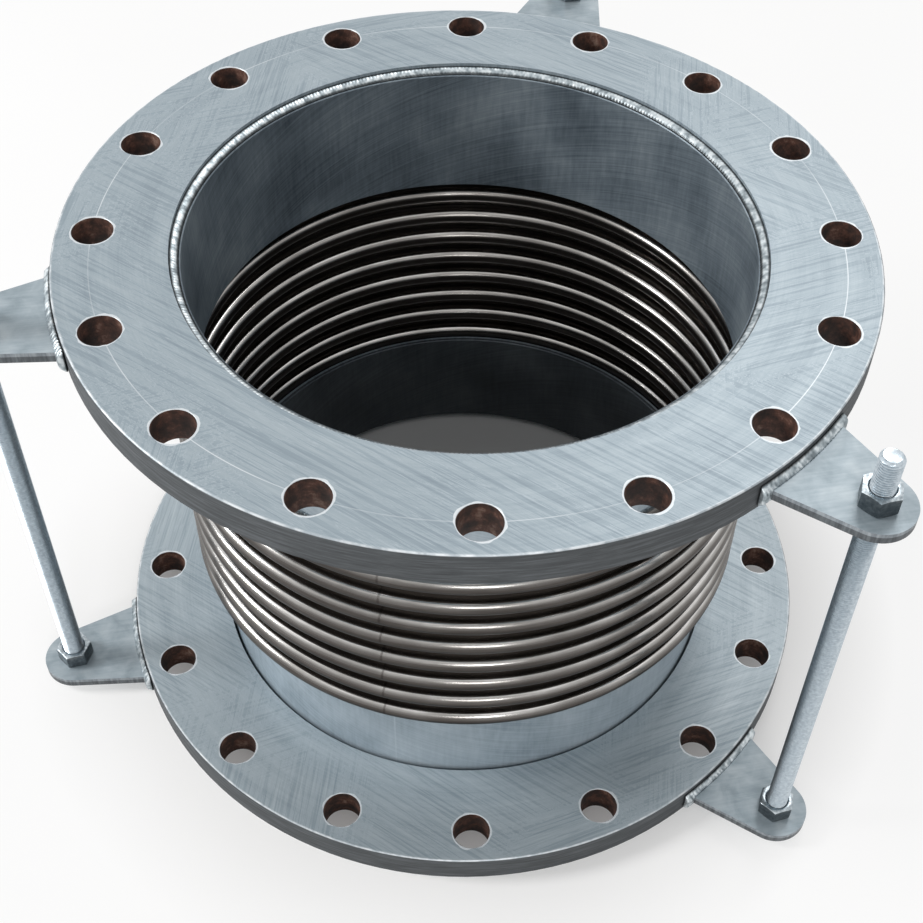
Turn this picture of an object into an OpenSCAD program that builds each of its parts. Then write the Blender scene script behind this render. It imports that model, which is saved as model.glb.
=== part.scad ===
// Axial expansion joint: two plate flanges on pipe stubs, a bellows between them,
// and three threaded tie rods through lugs on the flange rims.
// The origin is on the pipe axis, in the mating face of the lower flange, and Z runs up the axis.

/* [Overall] */
// Length from mating face to mating face
overall_l = 395; // [385:1:430]

/* [Flanges] */
// Outside diameter of both flanges
flange_d = 565; // [560:1:600]
// Thickness of both flanges
flange_t = 26; // [24:1:36]
// Distance from the rim to the bolt circle
bolt_inset = 25; // [18:0.5:28]
// Number of bolt holes in each flange
bolt_count = 16; // [12:4:20]
// Diameter of a bolt hole
bolt_hole_d = 28; // [22:1:30]
// Chamfer at both mouths of a bolt hole
hole_chamfer = 0.4; // [0.2:0.1:0.5]
// Chamfer on the outer edges of a flange
rim_chamfer = 1; // [0.5:0.1:2]

/* [Pipe stubs] */
// Outside diameter of the pipe
pipe_d = 406.4; // [400:0.1:410]
// Wall of the pipe
pipe_wall = 5; // [4:0.1:8]
// Radial gap between the pipe and the bore of its flange
bore_gap = 2.3; // [1:0.1:3]
// How far the pipe ends short of the mating face
stub_setback = 6.5; // [5:0.5:9]
// How far the upper pipe reaches past the end of the bellows cuff
upper_stub_reach = 4.5; // [0:0.5:6]
// How far the lower pipe stops short of the end of the bellows cuff
lower_stub_short = 2.5; // [0:0.5:4]
// Small break on the edges of a pipe end
pipe_edge = 0.6; // [0.2:0.1:1]

/* [Bellows] */
// Number of convolutions
convolutions = 8; // [6:1:9]
// Distance from one crest to the next
pitch = 22.5; // [20:0.5:24]
// Depth of a convolution, from the bore of the cuff to the top of a crest
fold_depth = 16.5; // [14.5:0.5:22]
// Wall of the bellows
bellows_wall = 1.2; // [0.8:0.1:1.6]
// Straight length of the cuff at each end
cuff_l = 9; // [8:0.5:14]
// Radial clearance between a cuff and the pipe
cuff_fit = 0.3; // [0.2:0.1:0.5]

/* [Welds] */
// Depth below the mating face at which the bore weld starts
bore_weld_sink = 2.5; // [1.5:0.5:4]
// How far the bore weld stays off the inner edge of the pipe
bore_weld_inset = 0.8; // [0.6:0.1:1.5]
// How far the face of a weld bulges
weld_bulge = 0.7; // [0.3:0.1:1]
// Leg of the weld at the end of a cuff
cuff_weld_leg = 3; // [2:0.5:4]
// Leg of the weld round the root of a lug
lug_weld_leg = 5; // [3:0.5:6]

/* [Lugs] */
// Thickness of a lug
lug_t = 8; // [6:0.5:9]
// Distance from the mating face to the near side of a lug
lug_setback = 9; // [9:0.5:11]
// Width of a lug at the rim of the flange
lug_root_w = 76; // [64:1:90]
// Radius of the round tip of a lug
lug_tip_r = 25; // [20:0.5:30]
// Distance from the rim of the flange to the axis of the tie rod
rod_offset = 52.5; // [45:0.5:60]

/* [Tie rods and nuts] */
// Diameter of a tie rod over its thread
rod_d = 16; // [12:1:18]
// Radial clearance of the rod in the hole of a lug
rod_hole_fit = 1; // [0.5:0.1:1.5]
// Radial clearance of the rod in a nut
nut_fit = 0.05; // [0.05:0.05:0.2]
// Width of a nut across its flats
nut_af = 24; // [23:1:27]
// Height of a full nut
nut_h = 14; // [12:0.5:16]
// Play between an upper lug and the nut above it
nut_play = 0.2; // [0.1:0.1:0.5]
// Height of the thin lock nut under a lower lug
lock_nut_h = 8; // [6:0.5:8]
// Length of rod that stands above its upper nut
rod_above_nut = 27; // [10:1:40]
// Chamfer on the ends of a rod
rod_chamfer = 1.6; // [0.5:0.1:2]

/* [Hidden] */

// Directions of the three lugs round the axis
rear_a = 90;
left_a = 210;
right_a = 330;

// Colours of the finishes
paint_colour = "#A9B5BC";
weld_colour = "#C3CACD";
bellows_colour = "#8E8A86";
zinc_colour = "#BFC8D0";

$fn = 96;
cut = 1;          // how far a cutter runs past the face that it cuts
arc_steps = 12;   // straight steps in the half circle of a crest or a root
bulge_steps = 6;  // straight steps in the bulged face of a weld
tip_steps = 32;   // straight steps round the tip of a lug

flange_r = flange_d / 2;
pipe_r = pipe_d / 2;
pipe_bore_r = pipe_r - pipe_wall;
flange_bore_r = pipe_r + bore_gap;
bolt_circle_r = flange_r - bolt_inset;

// The bellows lies midway between the flanges, and its wall is drawn about a middle line
mid_z = overall_l / 2;
cuff_in_r = pipe_r + cuff_fit;
cuff_out_r = cuff_in_r + bellows_wall;
bend_r = pitch / 4;
half_wall = bellows_wall / 2;
root_centre_r = cuff_in_r + half_wall + bend_r;
crest_centre_r = cuff_in_r + fold_depth - half_wall - bend_r;
first_crest_z = mid_z - (convolutions - 1) / 2 * pitch;
low_turn_z = first_crest_z - pitch / 2;
high_turn_z = overall_l - low_turn_z;
cuff_end_z = low_turn_z - cuff_l;

upper_stub_l = overall_l - stub_setback - high_turn_z + upper_stub_reach;
lower_stub_l = low_turn_z - lower_stub_short - stub_setback;

rod_r = rod_d / 2;
rod_circle_r = flange_r + rod_offset;
rod_hole_r = rod_r + rod_hole_fit;
rod_low_z = lug_setback - lock_nut_h;
upper_nut_z = overall_l - lug_setback + nut_play;
rod_high_z = upper_nut_z + nut_h + rod_above_nut;

// A corner of a lug lies on the rim, and its side runs from there as a tangent to the round tip
lug_corner = [sqrt(flange_r * flange_r - lug_root_w * lug_root_w / 4), lug_root_w / 2];
tip_to_corner = lug_corner - [rod_circle_r, 0];
tangent_a = atan2(tip_to_corner.y, tip_to_corner.x) - acos(lug_tip_r / norm(tip_to_corner));
lug_half_a = atan2(lug_corner.y, lug_corner.x);
lug_weld_half_a = lug_half_a + lug_weld_leg / flange_r * 180 / PI;

// Turns what is drawn for the lower end over, to the upper end
module turned_over() {
    translate([0, 0, overall_l]) mirror([0, 0, 1]) children();
}

// Points of an arc in a profile, from angle a0 to angle a1
function arc(centre, r, a0, a1, steps) =
    [for (i = [0:steps]) let (a = a0 + (a1 - a0) * i / steps) centre + r * [cos(a), sin(a)]];

// Points from p0 to p1 on a face that bulges to the right of the way along it
function bulged(p0, p1, bulge) =
    let (along = p1 - p0, side = [along.y, -along.x] / norm(along))
    [for (i = [0:bulge_steps]) let (t = i / bulge_steps) p0 + t * along + 4 * t * (1 - t) * bulge * side];

// Points of one skin of the bellows from the lower cuff to the upper one: side is 1 outside, -1 inside
function bellows_skin(side) =
    let (crest_r = bend_r + side * half_wall, root_r = bend_r - side * half_wall)
    concat(
        [[root_centre_r - root_r, cuff_end_z]],
        arc([root_centre_r, low_turn_z], root_r, 180, 90, arc_steps / 2),
        [for (k = [0:convolutions - 1]) let (z = first_crest_z + k * pitch) each concat(
            arc([crest_centre_r, z], crest_r, -90, 90, arc_steps),
            k < convolutions - 1
                ? arc([root_centre_r, z + pitch / 2], root_r, 270, 90, arc_steps)
                : arc([root_centre_r, z + pitch / 2], root_r, 270, 180, arc_steps / 2)
        )],
        [[root_centre_r - root_r, overall_l - cuff_end_z]]
    );

// Flange

module bolt_hole() {
    chamfer_r = bolt_hole_d / 2 + hole_chamfer;
    translate([0, 0, -cut]) cylinder(d = bolt_hole_d, h = flange_t + 2 * cut);
    translate([0, 0, -cut]) cylinder(r1 = chamfer_r + cut, r2 = bolt_hole_d / 2, h = cut + hole_chamfer);
    translate([0, 0, flange_t - hole_chamfer])
        cylinder(r1 = bolt_hole_d / 2, r2 = chamfer_r + cut, h = cut + hole_chamfer);
}

module flange() {
    color(paint_colour) difference() {
        rotate_extrude() polygon([
            [flange_bore_r, 0],
            [flange_r - rim_chamfer, 0],
            [flange_r, rim_chamfer],
            [flange_r, flange_t - rim_chamfer],
            [flange_r - rim_chamfer, flange_t],
            [flange_bore_r, flange_t]
        ]);
        for (k = [0:bolt_count - 1])
            rotate(right_a + k * 360 / bolt_count) translate([bolt_circle_r, 0, 0]) bolt_hole();
    }
}

module lower_flange() { flange(); }
module upper_flange() { turned_over() flange(); }

// Pipe stub, with its edges broken at both ends

module pipe_stub(length) {
    color(paint_colour) translate([0, 0, stub_setback]) rotate_extrude() polygon([
        [pipe_bore_r + pipe_edge, 0],
        [pipe_r - pipe_edge, 0],
        [pipe_r, pipe_edge],
        [pipe_r, length - pipe_edge],
        [pipe_r - pipe_edge, length],
        [pipe_bore_r + pipe_edge, length],
        [pipe_bore_r, length - pipe_edge],
        [pipe_bore_r, pipe_edge]
    ]);
}

module lower_pipe_stub() { pipe_stub(lower_stub_l); }
module upper_pipe_stub() { turned_over() pipe_stub(upper_stub_l); }

// Weld that fills the step between the bore of a flange and the end of its pipe

module bore_weld() {
    color(weld_colour) rotate_extrude() polygon(concat(
        bulged([pipe_bore_r + bore_weld_inset, stub_setback], [flange_bore_r, bore_weld_sink], weld_bulge),
        [[flange_bore_r, stub_setback]]
    ));
}

module lower_bore_weld() { bore_weld(); }
module upper_bore_weld() { turned_over() bore_weld(); }

// Bellows: one corrugated tube with a straight cuff at each end

module bellows() {
    inside = bellows_skin(-1);
    color(bellows_colour) rotate_extrude($fn = 180) polygon(concat(
        bellows_skin(1),
        [for (i = [len(inside) - 1:-1:0]) inside[i]]
    ));
}

// Weld between the end of a cuff and the pipe

module cuff_weld() {
    color(weld_colour) rotate_extrude() polygon(concat(
        bulged([pipe_r, cuff_end_z - cuff_weld_leg], [cuff_out_r + cuff_fit, cuff_end_z], weld_bulge / 2),
        [[pipe_r, cuff_end_z]]
    ));
}

module lower_cuff_weld() { cuff_weld(); }
module upper_cuff_weld() { turned_over() cuff_weld(); }

// Lug: a plate that leaves the rim between two corners and ends in a round tip with a hole

module lug_plate() {
    translate([0, 0, lug_setback]) linear_extrude(lug_t) difference() {
        polygon(concat(
            [lug_corner],
            arc([rod_circle_r, 0], lug_tip_r, tangent_a, -tangent_a, tip_steps),
            [[lug_corner.x, -lug_corner.y]]
        ));
        circle(r = flange_r, $fn = 360);
    }
}

module rod_hole() {
    translate([rod_circle_r, 0, lug_setback - cut]) cylinder(r = rod_hole_r, h = lug_t + 2 * cut);
}

module lug(a) {
    color(paint_colour) rotate(a) difference() {
        lug_plate();
        rod_hole();
    }
}

module lower_lug(a) { lug(a); }
module upper_lug(a) { turned_over() lug(a); }

// Weld all round the root of a lug, against the rim of the flange

module lug_weld(a) {
    far_r = flange_r + lug_weld_leg;
    near_z = lug_setback;
    back_z = lug_setback + lug_t;
    color(weld_colour) rotate(a) difference() {
        rotate(-lug_weld_half_a) rotate_extrude(angle = 2 * lug_weld_half_a, $fn = 360) polygon(concat(
            bulged([flange_r, near_z - lug_weld_leg], [far_r, near_z], weld_bulge / 2),
            bulged([far_r, back_z], [flange_r, back_z + lug_weld_leg], weld_bulge / 2)
        ));
        lug_plate();
    }
}

module lower_lug_weld(a) { lug_weld(a); }
module upper_lug_weld(a) { turned_over() lug_weld(a); }

// Tie rod, drawn at its diameter over the thread

module tie_rod(a) {
    color(zinc_colour) rotate(a) translate([rod_circle_r, 0, 0]) rotate_extrude() polygon([
        [0, rod_low_z],
        [rod_r - rod_chamfer, rod_low_z],
        [rod_r, rod_low_z + rod_chamfer],
        [rod_r, rod_high_z - rod_chamfer],
        [rod_r - rod_chamfer, rod_high_z],
        [0, rod_high_z]
    ]);
}

// Hexagon nut with both faces turned to a cone at the corners

module hex_nut(a, z, height) {
    corner_r = nut_af / 2 / cos(30);
    turn = (corner_r - nut_af / 2) * tan(30);
    color(zinc_colour) rotate(a) translate([rod_circle_r, 0, z]) difference() {
        intersection() {
            cylinder(r = corner_r, h = height, $fn = 6);
            rotate_extrude() polygon([
                [0, 0],
                [nut_af / 2, 0],
                [corner_r, turn],
                [corner_r, height - turn],
                [nut_af / 2, height],
                [0, height]
            ]);
        }
        translate([0, 0, -cut]) cylinder(r = rod_r + nut_fit, h = height + 2 * cut);
    }
}

module upper_nut(a) { hex_nut(a, upper_nut_z, nut_h); }
module lower_nut(a) { hex_nut(a, lug_setback + lug_t, nut_h); }
module lock_nut(a) { hex_nut(a, rod_low_z, lock_nut_h); }

lower_flange();
lower_pipe_stub();
lower_bore_weld();
lower_cuff_weld();
bellows();
upper_cuff_weld();
upper_bore_weld();
upper_pipe_stub();
upper_flange();
lower_lug(rear_a);  // lower_lug_rear
lower_lug(left_a);  // lower_lug_left
lower_lug(right_a);  // lower_lug_right
lower_lug_weld(rear_a);  // lower_lug_weld_rear
lower_lug_weld(left_a);  // lower_lug_weld_left
lower_lug_weld(right_a);  // lower_lug_weld_right
upper_lug(rear_a);  // upper_lug_rear
upper_lug(left_a);  // upper_lug_left
upper_lug(right_a);  // upper_lug_right
upper_lug_weld(rear_a);  // upper_lug_weld_rear
upper_lug_weld(left_a);  // upper_lug_weld_left
upper_lug_weld(right_a);  // upper_lug_weld_right
tie_rod(rear_a);  // tie_rod_rear
tie_rod(left_a);  // tie_rod_left
tie_rod(right_a);  // tie_rod_right
upper_nut(rear_a);  // upper_nut_rear
upper_nut(left_a);  // upper_nut_left
upper_nut(right_a);  // upper_nut_right
lower_nut(rear_a);  // lower_nut_rear
lower_nut(left_a);  // lower_nut_left
lower_nut(right_a);  // lower_nut_right
lock_nut(rear_a);  // lock_nut_rear
lock_nut(left_a);  // lock_nut_left
lock_nut(right_a);  // lock_nut_right
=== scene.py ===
# Axial expansion joint: the looks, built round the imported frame. Metres, Z up the pipe axis.
import math

import bpy
from mathutils import Matrix, Vector


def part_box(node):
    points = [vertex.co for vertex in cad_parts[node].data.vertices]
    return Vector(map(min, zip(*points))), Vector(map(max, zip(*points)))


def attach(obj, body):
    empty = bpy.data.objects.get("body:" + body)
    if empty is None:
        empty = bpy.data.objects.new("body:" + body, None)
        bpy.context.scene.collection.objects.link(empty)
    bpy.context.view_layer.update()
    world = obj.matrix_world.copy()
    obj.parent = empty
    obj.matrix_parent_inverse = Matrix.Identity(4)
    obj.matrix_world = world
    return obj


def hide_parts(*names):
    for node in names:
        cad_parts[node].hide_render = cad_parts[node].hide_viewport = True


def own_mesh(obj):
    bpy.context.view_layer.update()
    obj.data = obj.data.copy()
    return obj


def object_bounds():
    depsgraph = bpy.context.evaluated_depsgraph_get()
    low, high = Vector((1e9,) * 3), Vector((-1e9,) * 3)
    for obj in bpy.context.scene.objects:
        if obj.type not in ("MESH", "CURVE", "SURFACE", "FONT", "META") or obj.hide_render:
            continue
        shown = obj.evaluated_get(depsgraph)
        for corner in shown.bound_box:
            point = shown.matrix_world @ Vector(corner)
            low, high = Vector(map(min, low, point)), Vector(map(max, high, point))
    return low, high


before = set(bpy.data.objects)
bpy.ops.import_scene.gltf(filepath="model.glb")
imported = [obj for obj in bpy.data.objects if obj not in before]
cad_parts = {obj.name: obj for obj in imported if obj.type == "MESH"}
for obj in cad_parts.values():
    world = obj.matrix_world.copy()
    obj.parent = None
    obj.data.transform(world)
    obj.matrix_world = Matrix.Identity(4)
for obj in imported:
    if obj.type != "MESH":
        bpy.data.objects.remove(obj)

mm = 0.001
sides = {"rear": 90, "left": 210, "right": 330}  # lug directions, degrees round the axis
cadLow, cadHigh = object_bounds()

fit = {
    "pipeWall": 5.0 * mm,
    "boreGap": 2.3 * mm,  # from the pipe to the bore of a flange
    "cuffPlay": 0.3 * mm,  # from the pipe to the cuff of the bellows
    "bellowsWall": 1.2 * mm,
    "weldSink": 2.5 * mm,  # how deep the bore weld meets the flange
    "weldInset": 0.8 * mm,  # bare pipe end left inside the bore weld
}
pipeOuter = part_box("upper_pipe_stub")[1].x
pipeInner = pipeOuter - fit["pipeWall"]
flangeBore = pipeOuter + fit["boreGap"]
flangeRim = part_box("upper_flange")[1].x
# Radius of the middle of the bellows' wall, in a root and on a crest
rootLine = pipeOuter + fit["cuffPlay"] + fit["bellowsWall"] / 2
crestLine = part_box("bellows")[1].x - fit["bellowsWall"] / 2


# Small helpers

# Turns an sRGB hex value to the linear colour that a shader wants
def hexColour(text):
    parts = [int(text[i:i + 2], 16) / 255 for i in (1, 3, 5)]
    return tuple(p / 12.92 if p <= 0.04045 else ((p + 0.055) / 1.055) ** 2.4 for p in parts) + (1.0,)


# Adds a node with its settings and links; stops are the places and hex colours of a colour ramp
def addNode(tree, kind, inputs=None, stops=None, **settings):
    node = tree.nodes.new(kind)
    for key, value in settings.items():
        setattr(node, key, value)
    for key, value in (inputs or {}).items():
        if isinstance(value, bpy.types.NodeSocket):
            tree.links.new(value, node.inputs[key])
        else:
            node.inputs[key].default_value = value
    if stops:
        ramp = node.color_ramp.elements
        ramp[0].position = stops[0][0]
        ramp[1].position = stops[-1][0]
        for position, colour in stops[1:-1]:
            ramp.new(position)
        for element, (position, colour) in zip(ramp, stops):
            element.color = hexColour(colour)
    return node


def objectMode():
    if bpy.context.mode != "OBJECT":
        bpy.ops.object.mode_set(mode="OBJECT")


def selectOnly(piece):
    objectMode()
    bpy.ops.object.select_all(action="DESELECT")
    piece.select_set(True)
    bpy.context.view_layer.objects.active = piece


def startPiece(name):
    piece = bpy.context.active_object
    piece.name = name
    piece.data.name = name
    return piece


# Selects the vertices whose place passes the test, and goes back to edit mode
def selectVerts(piece, wanted):
    objectMode()
    for edge in piece.data.edges:
        edge.select = False
    for face in piece.data.polygons:
        face.select = False
    for vert in piece.data.vertices:
        vert.select = wanted(vert.co)
    bpy.ops.object.mode_set(mode="EDIT")
    bpy.ops.mesh.select_mode(type="VERT")


# A chain of vertices: a small plane merged to a point, then extruded from point to point
def drawLine(name, points):
    objectMode()
    bpy.ops.object.select_all(action="DESELECT")
    bpy.ops.mesh.primitive_plane_add(size=mm, location=points[0])
    piece = startPiece(name)
    bpy.ops.object.transform_apply(location=True, rotation=False, scale=False)
    bpy.ops.object.mode_set(mode="EDIT")
    bpy.ops.mesh.select_mode(type="VERT")
    bpy.ops.mesh.select_all(action="SELECT")
    bpy.ops.mesh.merge(type="CENTER")
    for here, there in zip(points, points[1:]):
        step = Vector(there) - Vector(here)
        bpy.ops.mesh.extrude_region_move(TRANSFORM_OT_translate={"value": step})
    bpy.ops.mesh.select_all(action="SELECT")
    return piece


def closeSkin(piece, distance=0.01 * mm):
    bpy.ops.mesh.select_all(action="SELECT")
    bpy.ops.mesh.remove_doubles(threshold=distance)
    bpy.ops.mesh.normals_make_consistent(inside=False)
    objectMode()


def applyModifier(piece, kind, **settings):
    selectOnly(piece)
    modifier = piece.modifiers.new(kind.title(), kind)
    for key, value in settings.items():
        setattr(modifier, key, value)
    bpy.ops.object.modifier_apply(modifier=modifier.name)


# Hands a finished piece to its body, its finish and the CAD nodes that it stands for
def finishPiece(piece, body, slotName, material, *nodes):
    piece.data.materials.clear()
    piece.data.materials.append(material)
    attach(piece, body)
    if nodes:
        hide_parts(*nodes)


# A copy with its own mesh, turned round the pipe axis, with its place in its mesh
def copyRound(piece, name, angle):
    selectOnly(piece)
    bpy.ops.object.duplicate(linked=False)
    copy = startPiece(name)
    copy.matrix_world = Matrix.Rotation(math.radians(angle), 4, "Z")
    bpy.ops.object.transform_apply(location=True, rotation=True, scale=False)
    return copy


def newMaterial(name):
    material = bpy.data.materials.new(name)
    material.use_nodes = True
    material.node_tree.nodes.clear()
    return material, material.node_tree


def finishMaterial(tree, shader):
    addNode(tree, "ShaderNodeOutputMaterial", {"Surface": shader.outputs[0]})


# Object position, distance from the pipe axis, and the level direction away from it
def roundAxis(tree):
    place = addNode(tree, "ShaderNodeTexCoord").outputs["Object"]
    level = addNode(tree, "ShaderNodeVectorMath", {0: place, 1: (1, 1, 0)}, operation="MULTIPLY").outputs[0]
    radius = addNode(tree, "ShaderNodeVectorMath", {0: level}, operation="LENGTH").outputs["Value"]
    outward = addNode(tree, "ShaderNodeVectorMath", {0: level}, operation="NORMALIZE").outputs[0]
    return place, radius, outward


# Noise drawn out round the axis: turnScale waves to a radian, acrossScale waves to a metre
def sweptNoise(tree, outward, across, turnScale, acrossScale, detail=4.0, roughness=0.55):
    turned = addNode(tree, "ShaderNodeVectorMath", {
        0: outward, "Scale": turnScale}, operation="SCALE").outputs[0]
    fine = addNode(tree, "ShaderNodeMath", {0: across, 1: acrossScale}, operation="MULTIPLY").outputs[0]
    lifted = addNode(tree, "ShaderNodeCombineXYZ", {"Z": fine}).outputs[0]
    vector = addNode(tree, "ShaderNodeVectorMath", {0: turned, 1: lifted}, operation="ADD").outputs[0]
    noise = addNode(tree, "ShaderNodeTexNoise", {
        "Vector": vector, "Scale": 1.0, "Detail": detail, "Roughness": roughness})
    return noise.outputs["Fac"]


# Full strength within half a width of a place on the way round or out, and 0 past a full width
def bandMask(tree, value, middle, width, strength=1.0):
    off = addNode(tree, "ShaderNodeMath", {0: value, 1: middle}, operation="SUBTRACT").outputs[0]
    off = addNode(tree, "ShaderNodeMath", {0: off}, operation="ABSOLUTE").outputs[0]
    return addNode(tree, "ShaderNodeMapRange", {
        "Value": off, "From Min": width, "From Max": 0.5 * width, "To Max": strength}).outputs[0]


# Distance sideways from a line up the skin at an angle round the axis, large on the far side
def offSeam(tree, place, angle):
    a = math.radians(angle)
    across = addNode(tree, "ShaderNodeVectorMath", {
        0: place, 1: (-math.sin(a), math.cos(a), 0)}, operation="DOT_PRODUCT").outputs["Value"]
    along = addNode(tree, "ShaderNodeVectorMath", {
        0: place, 1: (math.cos(a), math.sin(a), 0)}, operation="DOT_PRODUCT").outputs["Value"]
    behind = addNode(tree, "ShaderNodeMath", {0: along, 1: 0.0}, operation="LESS_THAN").outputs[0]
    return addNode(tree, "ShaderNodeMath", {0: across, 1: behind}, operation="ADD").outputs[0]


# Camera: at the photograph's viewing angle

camera = {
    "place": (0.1824, -0.7692, 1.0441),
    "turn": (41.776, -2.181, 12.744),  # degrees about X, Y and Z
    "lens": 57.3,  # mm on a 36 mm sensor
    "shift": -0.0634,
}
bpy.ops.object.camera_add(location=camera["place"], rotation=[math.radians(a) for a in camera["turn"]])
eye = bpy.context.active_object
eye.data.lens = camera["lens"]
eye.data.shift_x = camera["shift"]
bpy.context.scene.camera = eye
print("camera placed")


# Materials

flangeLook = {
    "boltCircle": 257.5 * mm,
    "holeRadius": 14.0 * mm,
    "holeStep": 22.5,  # degrees from hole to hole
    "firstHole": 15.0,  # degrees
    "streak": 1.3 * mm,  # width of a turning mark
    "broad": 14 * mm,  # width of a broad band of tone
    "rimStreak": 2.0 * mm,
    "strokeWidth": 2.4 * mm,  # width of a brush stroke
    "strokeLength": 80 * mm,
    "strokeTurns": (35, 98, 160),  # degrees, the brush's three ways across the face
    "strokeArea": 150 * mm,  # how far one way of brushing reaches
    "scratch": 0.016,  # share of the strokes that shows as a fine scratch
    "scribe": 0.45 * mm,  # half width of the scribed bolt circle
    # Width of the band of wear and painted highlight along the outer edge of the face
    "edgeWearAndHighlight": 2.0 * mm,
    "wearGrain": 8.33 * mm,  # size of a speck of wear
    "ringGrain": 10.53 * mm,  # how soon the painted highlight ring round a hole changes width
    "rustGrain": 13.33 * mm,  # size of a blotch of rust, with finer ones inside it
    "holeHighlightWidth": (0.4 * mm, 2.2 * mm),  # least and greatest width of the painted highlight ring round a hole
    "primerReach": 0.12 * mm,  # how far past the edge of a hole its primer goes
    "rimBlend": (0.5 * mm, 0.1 * mm),  # distances in from the rim where its paint starts and is full
    "upperPaint": ("#84919A", "#96A3AB", "#A8B3B9"),
    # Lighter than the upper paint: painted light against the shade the upper flange casts on the lower one
    "lowerPaintPaintedLight": ("#8B98A0", "#A1ADB4", "#B6C0C5"),
    "scratchTone": "#B9C3C9",
    # Rim tones darker than the face: painted shade on the upright rim
    "rimPaintedShade": ("#373A3D", "#4B4F52", "#666A6E"),
    # Bright tone of bare metal on the scribed line and worn specks, and of the painted highlights at the
    # holes and outer edge
    "bareAndHighlightTone": "#DCE1E4",
    "primer": ("#1A1210", "#38251E", "#5C3C30", "#8F7668"),
}


def flangePaint(name, tones, scribed):
    # Aluminium-pigmented paint brushed on turned plate: blue-grey soft sheen, strokes in several directions
    look = flangeLook
    material, tree = newMaterial(name)
    place, radius, outward = roundAxis(tree)
    split = addNode(tree, "ShaderNodeSeparateXYZ", {0: place}).outputs
    streaks = sweptNoise(tree, outward, radius, 5.0, 1 / look["streak"], 6.0, 0.7)
    broad = sweptNoise(tree, outward, radius, 2.5, 1 / look["broad"], 3.0)
    strokes = None
    for turn in look["strokeTurns"]:
        run = addNode(tree, "ShaderNodeMapping", {
            "Vector": place, "Location": (turn, 0, 0), "Rotation": (0, 0, math.radians(turn)),
            "Scale": (look["strokeLength"], look["strokeWidth"], 1)}, vector_type="TEXTURE").outputs[0]
        stroke = addNode(tree, "ShaderNodeTexNoise", {
            "Vector": run, "Scale": 1.0, "Detail": 5.0, "Roughness": 0.6, "Distortion": 0.7}).outputs["Fac"]
        if strokes is None:
            strokes = stroke
            continue
        area = addNode(tree, "ShaderNodeMapping", {"Vector": place, "Location": (0, 0, turn)}).outputs[0]
        area = addNode(tree, "ShaderNodeTexNoise", {
            "Vector": area, "Scale": 1 / look["strokeArea"], "Detail": 1.0}).outputs["Fac"]
        area = addNode(tree, "ShaderNodeMapRange", {
            "Value": area, "From Min": 0.44, "From Max": 0.56}).outputs[0]
        strokes = addNode(tree, "ShaderNodeMix", {0: area, 2: strokes, 3: stroke}).outputs[0]
    mixed = addNode(tree, "ShaderNodeMix", {0: 0.75, 2: streaks, 3: strokes}).outputs[0]
    mixed = addNode(tree, "ShaderNodeMix", {0: 0.25, 2: mixed, 3: broad}).outputs[0]
    paint = addNode(tree, "ShaderNodeValToRGB", {"Fac": mixed},
        list(zip((0.36, 0.5, 0.64), tones))).outputs[0]
    # Fine pale scratches where the stroke noise crosses its middle
    scratches = bandMask(tree, strokes, 0.5, look["scratch"], 0.5)
    paint = addNode(tree, "ShaderNodeMix", {
        0: scratches, 6: paint, 7: hexColour(look["scratchTone"])}, data_type="RGBA").outputs[2]
    # Worn bare specks round the outer edge of the face, with a painted highlight along the arris
    wearAndHighlight = addNode(tree, "ShaderNodeTexNoise", {
        "Vector": place, "Scale": 1 / look["wearGrain"], "Detail": 4.0}).outputs["Fac"]
    wearAndHighlight = addNode(tree, "ShaderNodeMapRange", {
        "Value": wearAndHighlight, "From Min": 0.42, "From Max": 0.6, "To Min": 0.25, "To Max": 0.95}).outputs[0]
    nearEdge = addNode(tree, "ShaderNodeMapRange", {
        "Value": radius, "From Min": flangeRim - look["edgeWearAndHighlight"],
        "From Max": flangeRim - 0.5 * look["edgeWearAndHighlight"]}).outputs[0]
    wearAndHighlight = addNode(tree, "ShaderNodeMath", {0: wearAndHighlight, 1: nearEdge}, operation="MULTIPLY").outputs[0]
    paint = addNode(tree, "ShaderNodeMix", {
        0: wearAndHighlight, 6: paint, 7: hexColour(look["bareAndHighlightTone"])}, data_type="RGBA").outputs[2]
    # Rim: matt, darker as painted shade, with streaks along it
    rimNoise = sweptNoise(tree, outward, split["Z"], 8.0, 1 / look["rimStreak"], 5.0, 0.7)
    rimPaintedShade = addNode(tree, "ShaderNodeValToRGB", {"Fac": rimNoise},
                       list(zip((0.3, 0.5, 0.72), look["rimPaintedShade"]))).outputs[0]
    onRim = addNode(tree, "ShaderNodeMapRange", {
        "Value": radius, "From Min": flangeRim - look["rimBlend"][0],
        "From Max": flangeRim - look["rimBlend"][1]}).outputs[0]
    colour = addNode(tree, "ShaderNodeMix", {0: onRim, 6: paint, 7: rimPaintedShade}, data_type="RGBA").outputs[2]
    # Distance to the nearest bolt hole, folded into one sector of the bolt circle
    angle = addNode(tree, "ShaderNodeMath", {0: split["Y"], 1: split["X"]}, operation="ARCTAN2").outputs[0]
    fromHole = addNode(tree, "ShaderNodeMath", {
        0: angle, 1: math.radians(look["firstHole"])}, operation="SUBTRACT").outputs[0]
    half = math.radians(look["holeStep"] / 2)
    folded = addNode(tree, "ShaderNodeMath", {0: fromHole, 1: half, 2: -half}, operation="WRAP").outputs[0]
    alongX = addNode(tree, "ShaderNodeMath", {0: folded}, operation="COSINE").outputs[0]
    alongY = addNode(tree, "ShaderNodeMath", {0: folded}, operation="SINE").outputs[0]
    holeX = addNode(tree, "ShaderNodeMath", {0: radius, 1: alongX}, operation="MULTIPLY").outputs[0]
    holeX = addNode(tree, "ShaderNodeMath", {
        0: holeX, 1: look["boltCircle"]}, operation="SUBTRACT").outputs[0]
    holeY = addNode(tree, "ShaderNodeMath", {0: radius, 1: alongY}, operation="MULTIPLY").outputs[0]
    offset = addNode(tree, "ShaderNodeCombineXYZ", {"X": holeX, "Y": holeY}).outputs[0]
    toHole = addNode(tree, "ShaderNodeVectorMath", {0: offset}, operation="LENGTH").outputs["Value"]
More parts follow.
